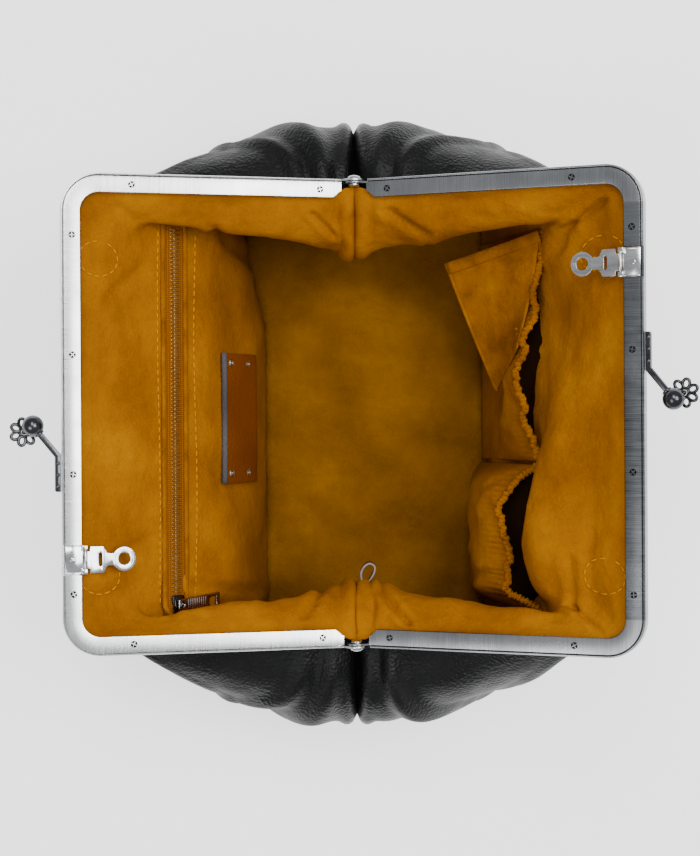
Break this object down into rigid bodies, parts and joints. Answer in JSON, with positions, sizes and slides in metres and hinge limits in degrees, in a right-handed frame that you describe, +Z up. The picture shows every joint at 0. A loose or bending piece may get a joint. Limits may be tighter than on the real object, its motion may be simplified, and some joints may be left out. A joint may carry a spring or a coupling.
{
  "type": "doctor bag",
  "caption": "Open frame doctor bag with a hinged two-part metal frame, ball kiss lock, leather body, suede lining, zip and gathered pockets, and two swinging handles.",
  "frame": {"origin": "middle of the base, on the surface it stands on", "axes": "+X along the bag's length and the hinge line, +Y towards the side with the zip, +Z up"},
  "size_m": [0.3722, 0.3782, 0.1804],
  "materials": {
    "nickel_bright": "polished nickel",
    "nickel_brushed": "brushed nickel",
    "steel_dark": "dark recess",
    "gunmetal": "polished gunmetal",
    "black_leather": "pebbled",
    "suede": "suede nap",
    "zip_fabric": "woven tape",
    "board": "fibreboard"
  },
  "bodies": {
    "root": {"leather_base": "black_leather", "base_board": "board", "lining_floor": "suede", "leather_wall_back": "black_leather", "lining_wall_back": "suede", "leather_wall_front": "black_leather", "lining_wall_front": "suede", "leather_gusset_left": "black_leather", "lining_gusset_left": "suede", "hinge_rivet_left": "nickel_bright", "leather_gusset_right": "black_leather", "lining_gusset_right": "suede", "hinge_rivet_right": "nickel_bright", "pocket_upper": "suede", "pocket_lower": "suede"},
    "frame_back": {"frame_channel_back": "nickel_bright", "frame_plate_back": "nickel_bright", "frame_screw_back_1": "steel_dark", "frame_screw_back_2": "steel_dark", "frame_screw_back_3": "steel_dark", "frame_screw_back_4": "steel_dark", "frame_screw_back_5": "steel_dark", "frame_screw_back_6": "steel_dark", "frame_screw_back_7": "steel_dark", "frame_screw_back_8": "steel_dark", "kiss_lock_stalk_back": "gunmetal", "kiss_lock_ball_back": "gunmetal", "strap_bracket_back": "nickel_bright", "leather_wall_top_back": "black_leather", "lining_wall_top_back": "suede", "handle_anchor_back_left": "nickel_bright", "handle_anchor_back_right": "nickel_bright", "zip_tape": "zip_fabric"},
    "strap_tab_back": {"strap_tab_back": "nickel_bright"},
    "handle_back": {"handle_strap_back": "black_leather", "handle_ring_back_left": "nickel_bright", "handle_ring_back_right": "nickel_bright"},
    "frame_front": {"frame_channel_front": "nickel_brushed", "frame_plate_front": "nickel_brushed", "frame_screw_front_1": "steel_dark", "frame_screw_front_2": "steel_dark", "frame_screw_front_3": "steel_dark", "frame_screw_front_4": "steel_dark", "frame_screw_front_5": "steel_dark", "frame_screw_front_6": "steel_dark", "frame_screw_front_7": "steel_dark", "frame_screw_front_8": "steel_dark", "kiss_lock_stalk_front": "gunmetal", "kiss_lock_ball_front": "gunmetal", "strap_bracket_front": "nickel_bright", "leather_wall_top_front": "black_leather", "lining_wall_top_front": "suede", "handle_anchor_front_left": "nickel_bright", "handle_anchor_front_right": "nickel_bright"},
    "strap_tab_front": {"strap_tab_front": "nickel_bright"},
    "handle_front": {"handle_strap_front": "black_leather", "handle_ring_front_left": "nickel_bright", "handle_ring_front_right": "nickel_bright"},
    "zip_slider": {"zip_slider": "gunmetal"},
    "zip_pull": {"zip_pull": "gunmetal"}
  },
  "joints": [
    {"name": "frame_back_fold", "type": "hinge", "parent": "root", "child": "frame_back", "pos_m": [0, 0, 0.11], "axis": [1, 0, 0], "range_deg": [0, 77]},
    {"name": "frame_front_fold", "type": "hinge", "parent": "root", "child": "frame_front", "pos_m": [0, 0, 0.11], "axis": [-1, 0, 0], "range_deg": [0, 68.6]},
    {"name": "strap_tab_back_flip", "type": "hinge", "parent": "frame_back", "child": "strap_tab_back", "pos_m": [-0.081, 0.15093, 0.14351], "axis": [-1, 0, 0], "range_deg": [0, 188]},
    {"name": "strap_tab_front_flip", "type": "hinge", "parent": "frame_front", "child": "strap_tab_front", "pos_m": [0.081, -0.14442, 0.1652], "axis": [1, 0, 0], "range_deg": [0, 188]},
    {"name": "handle_back_swing", "type": "hinge", "parent": "frame_back", "child": "handle_back", "pos_m": [0, 0.13645, 0.11427], "axis": [1, 0, 0], "range_deg": [-20, 108]},
    {"name": "handle_front_swing", "type": "hinge", "parent": "frame_front", "child": "handle_front", "pos_m": [0, -0.13536, 0.12718], "axis": [-1, 0, 0], "range_deg": [-15, 116]},
    {"name": "zip_slide", "type": "slide", "parent": "frame_back", "child": "zip_slider", "axis": [1, 0, 0], "range_m": [0, 0.208]},
    {"name": "zip_pull_flip", "type": "hinge", "parent": "zip_slider", "child": "zip_pull", "pos_m": [-0.11, 0.10197, 0.10548], "axis": [-1, 0, 0], "range_deg": [0, 165]}
  ]
}
